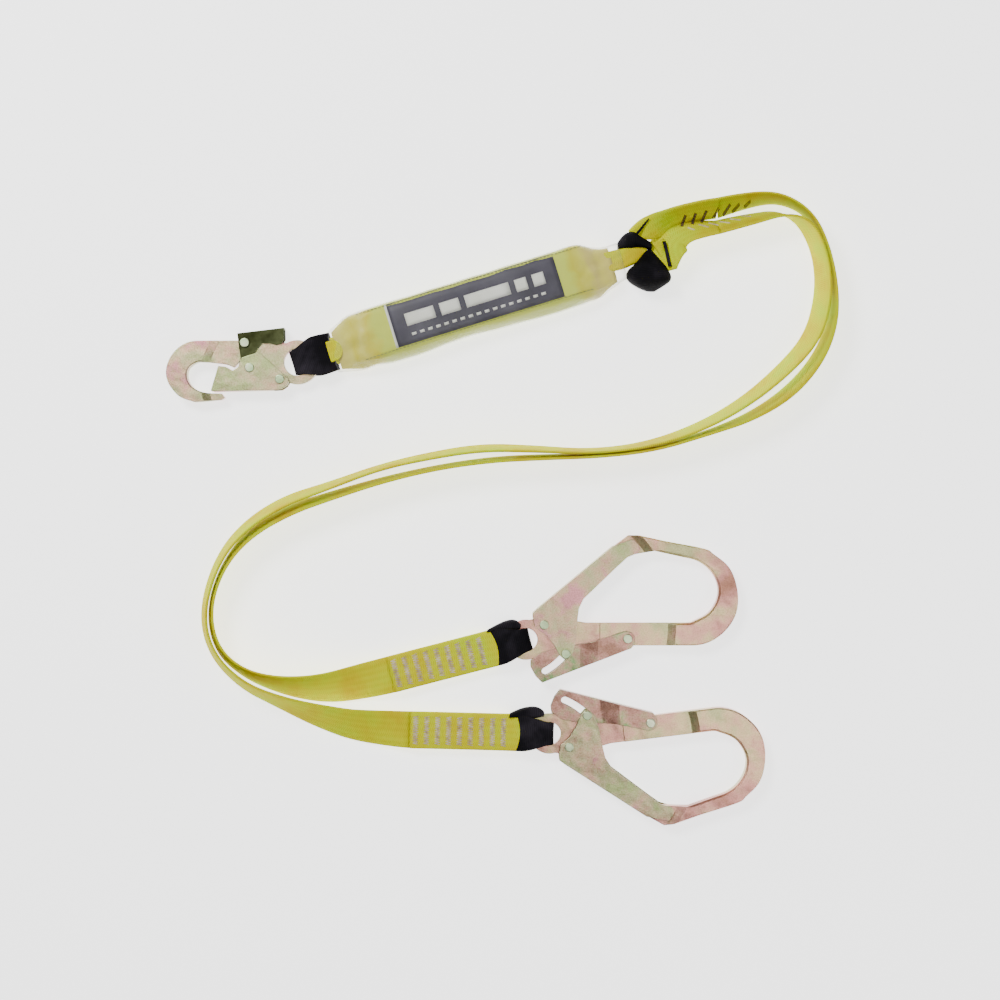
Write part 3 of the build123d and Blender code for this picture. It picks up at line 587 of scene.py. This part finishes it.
# (along, outline of the section as (across, height) pairs, from below and clockwise)
PACK_SECTIONS = (
    (
        2,
        (
            (-17, 2), (-21, 4), (-22.5, 9), (-21, 13.5), (-16, 16), (-6, 16.7), (6, 16.7), (15, 16),
            (19.5, 13.5), (20.5, 9), (19, 4), (15, 2),
        ),
    ),
    (
        10,
        (
            (-18, 1.5), (-23, 4), (-24.5, 9), (-22.5, 14), (-17, 18), (-6, 19.5), (6, 19.5), (16, 18.5),
            (22.5, 15), (24, 10), (22, 4), (17, 1.5),
        ),
    ),
    (
        27,
        (
            (-22, 0.8), (-26, 4.5), (-26, 11), (-23.5, 18), (-18, 25), (-7, 26.6), (9, 27), (24, 26),
            (31, 20.5), (32, 12), (30, 5), (22, 0.8),
        ),
    ),
    (
        44,
        (
            (-25, 0.7), (-27, 5), (-26.5, 12), (-24, 20.5), (-19.6, 28), (-8, 29), (10, 29.6),
            (27, 28.6), (31, 23.5), (31.8, 14), (30, 5), (24, 0.7),
        ),
    ),
    (
        58,
        (
            (-27, 0.6), (-29.4, 5), (-29, 12), (-25.5, 21), (-20.5, 28.4), (-9, 29.3), (10, 29.7),
            (27.2, 29), (30.4, 24), (31, 14), (30, 4.5), (25, 0.6),
        ),
    ),
    (90, PACK_MAIN),
    (
        128,
        (
            (-23.5, 0.6), (-25.8, 5), (-25.6, 12), (-23.8, 21), (-19.6, 28.4), (-9, 29.3), (10, 29.7),
            (27.5, 29), (30.2, 24), (30.8, 14), (29.6, 4.5), (25, 0.6),
        ),
    ),
    (
        165,
        (
            (-25, 0.6), (-27.3, 5), (-27, 12), (-24.4, 21), (-19.8, 28.4), (-9, 29.3), (10, 29.7),
            (27.5, 29), (30.2, 24), (30.8, 14), (29.6, 4.5), (25, 0.6),
        ),
    ),
    (215, PACK_MAIN),
    (248, PACK_MAIN),
    (
        266,
        (
            (-26.5, 0.7), (-29, 5), (-28.4, 12), (-24.8, 20.5), (-20, 27.6), (-9, 28.6), (10, 28.8),
            (27, 28), (30, 22.5), (30.6, 13.5), (29, 5), (24, 0.7),
        ),
    ),
    (
        275,
        (
            (-24, 1), (-27, 5), (-26.6, 11), (-23.5, 18.5), (-19, 24.6), (-8, 26), (9, 26), (21.5, 25),
            (24.5, 20), (25, 12.5), (24, 5), (20, 1),
        ),
    ),
    (
        284,
        (
            (-20, 3), (-23.4, 6.5), (-23.8, 12), (-21.4, 17.4), (-16, 21.4), (-7, 22.6), (8, 22.6),
            (17, 21.6), (21, 18), (22, 13), (20.6, 7), (16, 3.5),
        ),
    ),
    (
        306,
        (
            (-12, 6.6), (-16.5, 9), (-18, 13.5), (-16.5, 18), (-12, 21.4), (-4, 22.6), (8, 22.6),
            (14.6, 21.4), (18.6, 18), (20, 13.5), (18.4, 9), (14, 7),
        ),
    ),
)
LABEL_SPAN = (67.3, 240.2)
LABEL_EDGES = (-17.2, 27.6)
STITCH_ROWS = (((36, 26.8), (271, 26.3)), ((33, -18.8), (271, -18.4)))
STITCH_PITCH = 3.9
STITCH_LENGTH = 2.3


def pack_point(along, across, height):
    """A point of the pack, in millimetres from its front end, in the row frame."""
    c, s = math.cos(PACK_TURN), math.sin(PACK_TURN)
    x = PACK_START[0] + along * c - across * s
    y = PACK_START[1] + along * s + across * c
    return layout(x, y, height)


def rounded_loop(points, rounds=3):
    """A closed outline with its corners cut again and again until it is smooth."""
    for _ in range(rounds):
        cut = []
        for p, q in zip(points, points[1:] + points[:1]):
            cut += [p * 0.75 + q * 0.25, p * 0.25 + q * 0.75]
        points = cut
    return points


def pack_skin(name, start, end, shrink, wrinkle, steps=7):
    """A skin of the pack between two places along it. shrink(along) pulls it in, in millimetres;
    wrinkle(along) is how far it crumples."""
    chains = []
    for k in range(len(PACK_MAIN)):
        chains.append(
            smooth_line([Vector((along, *section[k])) for along, section in PACK_SECTIONS], steps),
        )
    rings = []
    for i in range(len(chains[0])):
        along = chains[0][i].x
        if not start <= along <= end:
            continue
        pull = shrink(along)
        middle = sum((chain[i] for chain in chains), Vector()) / len(chains)
        ring = []
        for chain in chains:
            spoke = chain[i] - middle
            reach_y = max(0.0, abs(spoke.y) - pull) * (1 if spoke.y > 0 else -1)
            reach_z = max(0.0, abs(spoke.z) - pull) * (1 if spoke.z > 0 else -1)
            ring.append(Vector((along, middle.y + reach_y, middle.z + reach_z)))
        ring = rounded_loop(ring)
        crumpled = []
        for place in ring:
            out = Vector((0.0, place.y - middle.y, place.z - middle.z)).normalized()
            seed = Vector((place.x * 0.05, place.y * 0.09, place.z * 0.09))
            amount = wrinkle(along, place) * noise.noise(seed)
            moved = place + out * amount
            moved.z = max(moved.z, 0.35)
            crumpled.append(pack_point(moved.x, moved.y, moved.z))
        rings.append(crumpled)
    return loft(name, rings)


def near_ends(along):
    """1 where the pack folds in towards a neck, and 0 over its middle."""
    front = min(1.0, max(0.0, (62.0 - along) / 30.0))
    rear = min(1.0, max(0.0, (along - 250.0) / 16.0))
    return max(front, rear)


def on_top(piece, along, across):
    """The point of a piece right under the sky at that place on the pack."""
    above = pack_point(along, across, 60.0)
    hit, place, normal, index = piece.ray_cast(above, Vector((0.0, 0.0, -1.0)))
    return place


def draped(name, piece, outline_span, edges, lift, thick, columns, rows):
    """A thin sheet laid on a piece of the pack, over a span along it and between two edges."""
    rings = []
    for i in range(columns + 1):
        along = outline_span[0] + (outline_span[1] - outline_span[0]) * i / columns
        top = []
        for j in range(rows + 1):
            across = edges[0] + (edges[1] - edges[0]) * j / rows
            top.append(on_top(piece, along, across) + Vector((0.0, 0.0, lift)))
        under = [place - Vector((0.0, 0.0, thick)) for place in reversed(top)]
        rings.append(top + under)
    return loft(name, rings)


def capsule(ends, radius, sides=6):
    """The rings of a short thread with rounded ends."""
    start, stop = ends
    way = (stop - start).normalized()
    side = way.orthogonal().normalized()
    up = way.cross(side)
    rings = []
    for place, size in (
        (start - way * radius * 0.9, 0.35), (start, 1.0), ((start + stop) / 2, 1.08), (stop, 1.0),
        (stop + way * radius * 0.9, 0.35),
    ):
        rings.append([
            place
            + (side * math.cos(2 * math.pi * k / sides) + up * math.sin(2 * math.pi * k / sides))
            * radius * size
            for k in range(sides)
        ])
    return rings


def threads(name, stitches, radius):
    """One object of many short threads, each given by its two ends."""
    return join(name, [loft(f"{name}_{i}", capsule(ends, radius)) for i, ends in enumerate(stitches)])


def build_pack():
    wrap = pack_skin(
        "pack_wrap", 5.0, 300.0,
        lambda along: 1.3 + 2.6 * max(0.0, (30 - along) / 30) + 2.0 * max(0.0, (along - 276) / 30),
        lambda along, place: 0.5 + 2.2 * near_ends(along),
    )
    finish_piece(wrap, WRAP_FABRIC, "absorber", ["absorber_wrap"])
    cover = pack_skin(
        "pack_cover", 0.0, 306.5, lambda along: 0.2, lambda along, place: 0.6 + 1.6 * near_ends(along),
    )
    finish_piece(cover, CLEAR_COVER, "absorber", ["absorber_cover"])

    label = draped("pack_label", wrap, LABEL_SPAN, LABEL_EDGES, 0.45 * MM, 0.3 * MM, 40, 10)
    edge_span = (LABEL_SPAN[0] - 2.2, LABEL_SPAN[0] + 0.2)
    edge = draped("pack_label_edge", wrap, edge_span, LABEL_EDGES, 0.5 * MM, 0.3 * MM, 2, 10)
    finish_piece(label, LABEL_INK, "absorber", ["id_label"])
    finish_piece(edge, LABEL_EDGE, "absorber")
    # a plain generic mark: blocks and dashes in place of any lettering
    marks = []
    for start, stop in ((82, 112), (118, 138), (144, 190), (196, 208), (214, 226)):
        marks.append(draped("mark", wrap, (start, stop), (0.5, 13.0), 0.55 * MM, 0.12 * MM, 6, 3))
    for k in range(17):
        start = 84 + 8.4 * k
        marks.append(draped("mark", wrap, (start, start + 4.6), (-9.6, -7.0), 0.55 * MM, 0.12 * MM, 1, 1))
    mark = join("pack_label_marks", marks)
    finish_piece(mark, LABEL_EDGE, "absorber")

    rows = []
    for (u0, v0), (u1, v1) in STITCH_ROWS:
        count = int((u1 - u0) / STITCH_PITCH)
        for i in range(count):
            a = (u0 + i * STITCH_PITCH, v0 + (v1 - v0) * i / count)
            ends = [on_top(cover, a[0] + step, a[1]) for step in (0.0, STITCH_LENGTH)]
            rows.append([place + Vector((0.0, 0.0, 0.05 * MM)) for place in ends])
    stitching = threads("pack_stitching", rows, 0.42 * MM)
    finish_piece(stitching, ROW_THREAD, "absorber", ["cover_stitching"])


build_pack()


# ---------------------------------------------------------------- eye ends of the legs
def pillow(name, rows, squareness=3.0, sides=28, steps=8):
    """A thick folded form. rows are (left end, right end, lowest, highest), in millimetres of the layout."""
    lefts = smooth_line([layout(*left, low) for left, right, low, high in rows], steps)
    rights = smooth_line([layout(*right, high) for left, right, low, high in rows], steps)
    rings = []
    for left, right in zip(lefts, rights):
        low, high = left.z, right.z
        middle = Vector(((left.x + right.x) / 2, (left.y + right.y) / 2, (low + high) / 2))
        reach = Vector(((right.x - left.x) / 2, (right.y - left.y) / 2, 0.0))
        ring = []
        for k in range(sides):
            turn = 2 * math.pi * k / sides
            a, b = math.cos(turn), math.sin(turn)
            a = math.copysign(abs(a) ** (2 / squareness), a)
            b = math.copysign(abs(b) ** (2 / squareness), b)
            crease = 0.7 * MM * noise.noise(Vector((middle.x * 90, middle.y * 90, turn * 1.3)))
            ring.append(middle + reach * a + Vector((0.0, 0.0, (high - low) / 2 * b + crease)))
        rings.append(ring)
    return loft(name, rings)


# leg, its hook's eye, the webbing's direction from there, and the two edges of the sleeve's ear from that eye
LEG_EYES = (
    (
        "a",
        (49.0, -132.5),
        194.5,
        (
            ((-39.5, 7.5), (-38.5, 10)), ((-30, 8.5), (-31.5, 14)), ((-18, 10), (-20, 19.5)),
            ((-9, 10), (-10, 20.8)), ((-5.5, 11), (-5, 16)),
        ),
    ),
    (
        "b",
        (72.4, -226.5),
        178.5,
        (
            ((-40.5, 16), (-39.5, 20)), ((-30, 15.5), (-30, 25)), ((-18, 15), (-17, 27.5)),
            ((-9, 16), (-8, 25.5)), ((-5.5, 17), (-5, 21.5)),
        ),
    ),
)
EAR_SPAN = (3.5, 16.5)  # its lowest and highest
SEWN_END = 139.0
SEWN_LAYER = 2.7
BAR_COUNT = 9
BAR_START = 46.0
BAR_PITCH = 11.0
BAR_HALF = 14.0
BAR_TURNS = 24
BAR_WIDTH = 5.0
# when a gate opens, its lock's tail crowds the webbing in the eye towards the far side
CROWDING = {"a": -1.0, "b": 1.0}  # the side of the webbing that stays where it is
HALF_IN_EYE = 10.8  # half the webbing's width where it turns over inside the eye
# the sleeve's loop through the eye: (distance from the eye's centre, height over the hook's middle, width)
SLEEVE_LOOP = (
    (32.5, 4.4, 36.5), (27, 6.8, 36.5), (20, 8.4, 34), (12, 8.9, 29), (4, 7.6, 24), (-2.6, 4.4, 22.5),
    (-4.2, 0, 22), (-2.6, -4.4, 22.5), (4, -7, 24), (12, -7.5, 29), (20, -7.2, 34), (27, -6.4, 36.5),
    (32.5, -4.4, 36.5),
)


def eye_frame(eye, turn):
    """A function from (out along the webbing, across it, over the middle plane), in mm, to the row frame."""
    c, s = math.cos(math.radians(turn)), math.sin(math.radians(turn))

    def place(out, across, over):
        x = eye[0] + out * c - across * s
        y = eye[1] + out * s + across * c
        return layout(x, y, HOOK_HEIGHT / MM + over)

    return place


def eye_band(name, place, path, thick, crown=0.0, steps=6):
    """A webbing along a path of (out, over, width) points in an eye's frame."""
    line = smooth_line([Vector(point) for point in path], steps)
    centres = [place(point.x, 0.0, point.y) for point in line]
    across = place(0.0, 1.0, 0.0) - place(0.0, 0.0, 0.0)
    return band(
        name, centres, [across] * len(line), [point.z * MM for point in line], thick * MM, crown * MM,
    )


def crowd(pieces, leg_name, place):
    """Gives each of the pieces in an eye a mesh of its own. The side that would stay still and the axis
    across the webbing are worked out, but nothing is moved.
    """
    still = place(0.0, CROWDING[leg_name] * HALF_IN_EYE, 0.0)
    axis = (place(0.0, 1.0, 0.0) - place(0.0, 0.0, 0.0)).normalized()
    for piece in pieces:
        tuple(still)
        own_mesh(piece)


def zigzag_bar(place, out, side, piece, half, width, turns):
    """The stitches of one bar across the webbing, on its upper or its lower face: a dense zigzag."""
    points = []
    for k in range(turns + 1):
        across = -half + 2 * half * k / turns
        outside = place(out + (width / 2 if k % 2 else -width / 2), across, side * 30.0)
        hit, point, normal, index = piece.ray_cast(outside, Vector((0.0, 0.0, -side)))
        points.append(point)
    return list(zip(points, points[1:]))


def eye_sleeve(name, place, path, eye, ear, node):
    """The black wear sleeve that goes through the hook's eye, and the folded ear at its mouth."""
    sleeve = eye_band(name, place, path, 1.9, 0.35, 7)
    rows = [((eye[0] + a[0], eye[1] + a[1]), (eye[0] + b[0], eye[1] + b[1]), *EAR_SPAN) for a, b in ear]
    piece = join(name, [sleeve, pillow(f"{name}_ear", rows)])
    finish_piece(piece, BLACK_SLEEVE, "absorber", [node])
    return piece


def build_leg_end(leg_name, eye, turn, ear):
    place = eye_frame(eye, turn)
    upper = eye_band(
        f"leg_{leg_name}_end_upper", place,
        (
            (4, 5.4, 23), (14, 6.2, 30), (26, 5.6, 36), (36, 3.0, 37), (46, 1.45, 37), (60, 1.4, 37),
            (92, 1.4, 37), (120, 1.4, 37), (132, 2.2, 37), (SEWN_END, 2.75, 37),
        ),
        SEWN_LAYER, 0.25,
    )
    lower = eye_band(
        f"leg_{leg_name}_end_lower", place,
        ((4, -5.2, 23), (14, -5.6, 30), (26, -5.2, 36), (36, -3.0, 37), (46, -1.45, 37), (60, -1.4, 37),
         (92, -1.4, 37), (120, -1.4, 37), (132, -0.6, 37), (SEWN_END + 1.0, 0, 37)), SEWN_LAYER,
    )
    turn_over = eye_band(
        f"leg_{leg_name}_end_turn", place,
        ((4.4, 5.4, 23), (0.5, 4.4, 22), (-1.2, 0, 21), (0.5, -4.4, 22), (4.4, -5.2, 23)), 2.2,
    )
    piece = join(f"leg_{leg_name}_end", [upper, lower, turn_over])
    finish_piece(piece, HI_VIS, "absorber", [f"leg_{leg_name}_eye_end"])

    stitches = []
    for k in range(BAR_COUNT):
        out = BAR_START + k * BAR_PITCH
        for side in (1, -1):
            stitches += zigzag_bar(place, out, side, piece, BAR_HALF, BAR_WIDTH, BAR_TURNS)
    bars = threads(f"leg_{leg_name}_bars", stitches, 0.5 * MM)
    finish_piece(bars, BAR_THREAD, "absorber", [f"leg_{leg_name}_stitching"])

    sleeve = eye_sleeve(
        f"leg_{leg_name}_sleeve", place, SLEEVE_LOOP, eye, ear, f"leg_{leg_name}_wear_sleeve",
    )
    crowd((piece, bars, sleeve), leg_name, place)


for leg_name, eye, turn, ear in LEG_EYES:
    build_leg_end(leg_name, eye, turn, ear)


# ---------------------------------------------------------------- knot and yoke between the pack and the legs
YOKE_UPPER = (
    ((240, 306.5, 34.5), (240, 291.5, 1.2)), ((226, 304.5, 35.5), (226, 289.5, 2)),
    ((212, 301.5, 35), (210, 286.5, 4)), ((195, 297.5, 34), (193, 282, 8)),
    ((177, 293, 31), (180, 268, 17)), ((163, 286, 28), (166, 266, 20)),
    ((152.4, 277.5, 17), (157, 268, 12)),
)
YOKE_LOWER = (
    ((240, 288.4, 1.2), (240, 271.6, 33.8)), ((222, 288.5, 3), (223, 267.8, 34.5)),
    ((205, 288, 5), (205, 261.5, 32)), ((184, 284, 10), (202, 250, 28)),
    ((176, 264, 17), (200, 236, 24)), ((187, 243, 18), (197, 229, 20)),
)
YOKE_TONGUE = (
    ((174, 265, 23), (187, 266, 20)), ((182, 252, 20), (190, 255, 18)),
    ((189.5, 240, 16), (192, 243, 16)),
)
REAR_LOOP = (
    ((122, 254, 17), (127, 233, 17)), ((134, 256, 18), (138, 236, 18)),
    ((143, 258.5, 19), (148.5, 238.5, 19)), ((157, 260.5, 19), (155, 243, 18)),
    ((175, 263, 16), (164, 248, 15)),
)
KNOT_SMALL = (
    ((140.6, 257.6), (140.6, 265.2), 9, 19), ((147, 257.6), (145.6, 273), 6, 25),
    ((156, 258.4), (155.6, 276.2), 5, 27), ((163, 259.5), (162, 271), 6, 25.5),
    ((174, 257.6), (174, 265), 8, 22),
)
KNOT_BIG = (
    ((167.4, 256), (173.5, 259), 8, 18), ((158, 243), (181, 249.5), 3, 27),
    ((149.4, 236.6), (190.4, 239), 1.2, 31), ((148.8, 227.4), (195.6, 227.6), 1.2, 31),
    ((163, 218.6), (187, 221.6), 2, 25), ((170, 216.6), (178, 216.4), 7, 15),
)
# thin black strips along the yoke's two folds: the sleeve's edge peeking out, and partly painted shadow in
# those folds
FOLD_SHADOWS = (
    (
        ((158, 273, 24.5), (160, 271.5, 24)), ((164, 280, 28.5), (166, 278.5, 28)),
        ((170, 286.5, 31), (171, 286, 31)),
    ),
    (
        ((184.6, 265, 24), (188, 264.6, 24)), ((187.5, 252, 25), (191, 252.5, 25)),
        ((190.5, 239, 24), (194, 240, 24)),
    ),
)
# (from, to) over the layout: across the inner faces of the two legs' webbing. The shaded bars and the lit
# bars are one stitching; the shaded ones get a darker thread as painted shade, where the inner faces lie in
# the valley's shade
SHADED_BARS = (
    ((205, 281.1), (208, 291.3)), ((215.7, 283.6), (218.2, 293.4)), ((225.3, 285.7), (228.9, 295.9)),
    ((236.6, 288.7), (241.2, 298.4)), ((247.3, 293.8), (252.4, 302)), ((256.5, 296.9), (262, 303)),
    ((268, 301.4), (273, 305.5)),
)
LIT_BARS = (
    ((210.5, 279.5), (216.7, 276.5)), ((221.8, 283.0), (231, 279.5)), ((232, 285.0), (241, 281.5)),
    ((243, 287.0), (252.4, 284)), ((254, 289.5), (263, 287)), ((265, 293.5), (274, 291)),
)
THREAD_GAP = 1.0


def topmost(pieces, x, y):
    """The highest point of those pieces over a place of the layout, in millimetres."""
    above = layout(x, y, 80.0)
    found = [piece.ray_cast(above, Vector((0.0, 0.0, -1.0))) for piece in pieces]
    found = [place for hit, place, normal, index in found if hit]
    return max(found, key=lambda place: place.z) if found else None


def bar_threads(pieces, bars, rows, steps=6):
    """Threads that lie on pieces along each bar, in several rows side by side."""
    stitches = []
    for (x0, y0), (x1, y1) in bars:
        length = math.hypot(x1 - x0, y1 - y0)
        side = (-(y1 - y0) / length, (x1 - x0) / length)
        for row in range(rows):
            shift = (row - (rows - 1) / 2) * THREAD_GAP
            places = []
            for k in range(steps + 1):
                x = x0 + (x1 - x0) * k / steps + side[0] * shift
                y = y0 + (y1 - y0) * k / steps + side[1] * shift
                places.append(topmost(pieces, x, y))
            for p, q in zip(places, places[1:]):
                if p and q and (p - q).length < 9 * MM:
                    stitches.append((p, q))
    return stitches


def bands_of(name, tables, thick, crown=0.0):
    made = []
    for i, table in enumerate(tables):
        pairs = [(layout(*a), layout(*b)) for a, b in table]
        made.append(ruled_band(f"{name}_{i}", pairs, thick, crown))
    return join(name, made)


def build_yoke():
    yoke = bands_of("yoke_web", (YOKE_UPPER, YOKE_LOWER, YOKE_TONGUE), WEB_THICK, 0.8 * MM)
    finish_piece(yoke, HI_VIS, "absorber", ["yoke_webbing"])
    rear = bands_of("rear_loop_web", (REAR_LOOP,), 5.4 * MM, 0.6 * MM)
    finish_piece(rear, HI_VIS, "absorber", ["rear_loop"])
    small = pillow("rear_sleeve_fold", KNOT_SMALL)
    finish_piece(small, BLACK_SLEEVE, "absorber", ["rear_wear_sleeve"])
    big = pillow("yoke_sleeve_fold", KNOT_BIG)
    # black sleeve strips that are partly the sleeve's edge and partly painted shadow in the yoke's folds
    sleeve_edge_and_shadow_strips = bands_of("yoke_sleeve_edges_and_shadows", FOLD_SHADOWS, 1.2 * MM)
    sleeve = join("yoke_sleeve_fold", [big, sleeve_edge_and_shadow_strips])
    finish_piece(sleeve, BLACK_SLEEVE, "absorber", ["yoke_wear_sleeve"])
    under = [yoke, bpy.data.objects["leg_a_web"], bpy.data.objects["leg_b_web"]]
    # painted shade: the bars on the shaded inner faces get the darker thread, the lit bars the plain bar
    # thread
    dark = threads("yoke_shaded_bars", bar_threads(under, SHADED_BARS, 3), 0.5 * MM)
    finish_piece(dark, SHADED_THREAD, "absorber", ["yoke_stitching"])
    light = threads("yoke_lit_bars", bar_threads(under, LIT_BARS, 2), 0.42 * MM)
    finish_piece(light, BAR_THREAD, "absorber")


build_yoke()


# ---------------------------------------------------------------- front loop through the snap hook's eye
SNAP_EYE = (-180.0, 145.5)
SNAP_AXIS = 17.1
FRONT_SLEEVE_LOOP = (
    (38.5, 4.2, 38), (34, 6.4, 38.5), (27, 8.6, 39.5), (19, 9.6, 40), (10, 9.2, 33), (3, 7.6, 27),
    (-3.4, 4.4, 24.5), (-5, 0, 24), (-3.4, -4.4, 24.5), (3, -7.2, 27), (10, -7.7, 33), (19, -7.6, 39),
    (28, -6.8, 38.5), (38.5, -4.2, 38),
)


def build_front():
    place = eye_frame(SNAP_EYE, SNAP_AXIS)
    upper = eye_band(
        "front_upper", place,
        ((4, 5.4, 22), (14, 6.6, 30), (26, 6.4, 35), (34, 5.0, 34), (40, 3.6, 25), (58, 1.8, 22)), 2.4,
    )
    lower = eye_band(
        "front_lower", place,
        ((4, -5.2, 22), (14, -5.6, 30), (26, -4.8, 35), (34, -3.6, 34), (40, -2.4, 25), (58, -1.2, 22)),
        2.4,
    )
    turn_over = eye_band(
        "front_turn", place,
        ((4.4, 5.4, 22), (0.5, 4.4, 21), (-1.6, 0, 21), (0.5, -4.4, 21), (4.4, -5.2, 22)), 2.2,
    )
    tongue = eye_band(
        "front_tongue", place,
        ((28, 6.4, 22), (36, 6.9, 21), (41, 8.0, 20.5), (44, 8.8, 17), (46.4, 9.2, 11), (47.4, 9.3, 4)),
        1.2,
    )
    loop = join("front_loop_web", [upper, lower, turn_over, tongue])
    finish_piece(loop, HI_VIS, "absorber", ["front_loop"])
    sleeve = eye_band("front_sleeve", place, FRONT_SLEEVE_LOOP, 1.9, 0.4, 7)
    finish_piece(sleeve, BLACK_SLEEVE, "absorber", ["front_wear_sleeve"])


build_front()


# ---------------------------------------------------------------- metalwork and tear webbing, from the CAD
def paint(node, material):
    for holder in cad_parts[node].material_slots:
        holder.material = material


for hook in ("hook_a", "hook_b", "snap"):
    small = hook == "snap"
    paint(f"{hook}_frame", YELLOW_ZINC if small else ROSE_ZINC)
    paint(f"{hook}_gate", YELLOW_ZINC)
    paint(f"{hook}_lock", OLIVE_ZINC if small else BROWN_ZINC)
    for part in ("gate_rivet", "lock_rivet", "latch_pin"):
        paint(f"{hook}_{part}", RIVET_STEEL)
    for part in ("gate_spring", "lock_spring"):
        paint(f"{hook}_{part}", SPRING_STEEL)
paint("tear_webbing", HI_VIS_PLAIN)
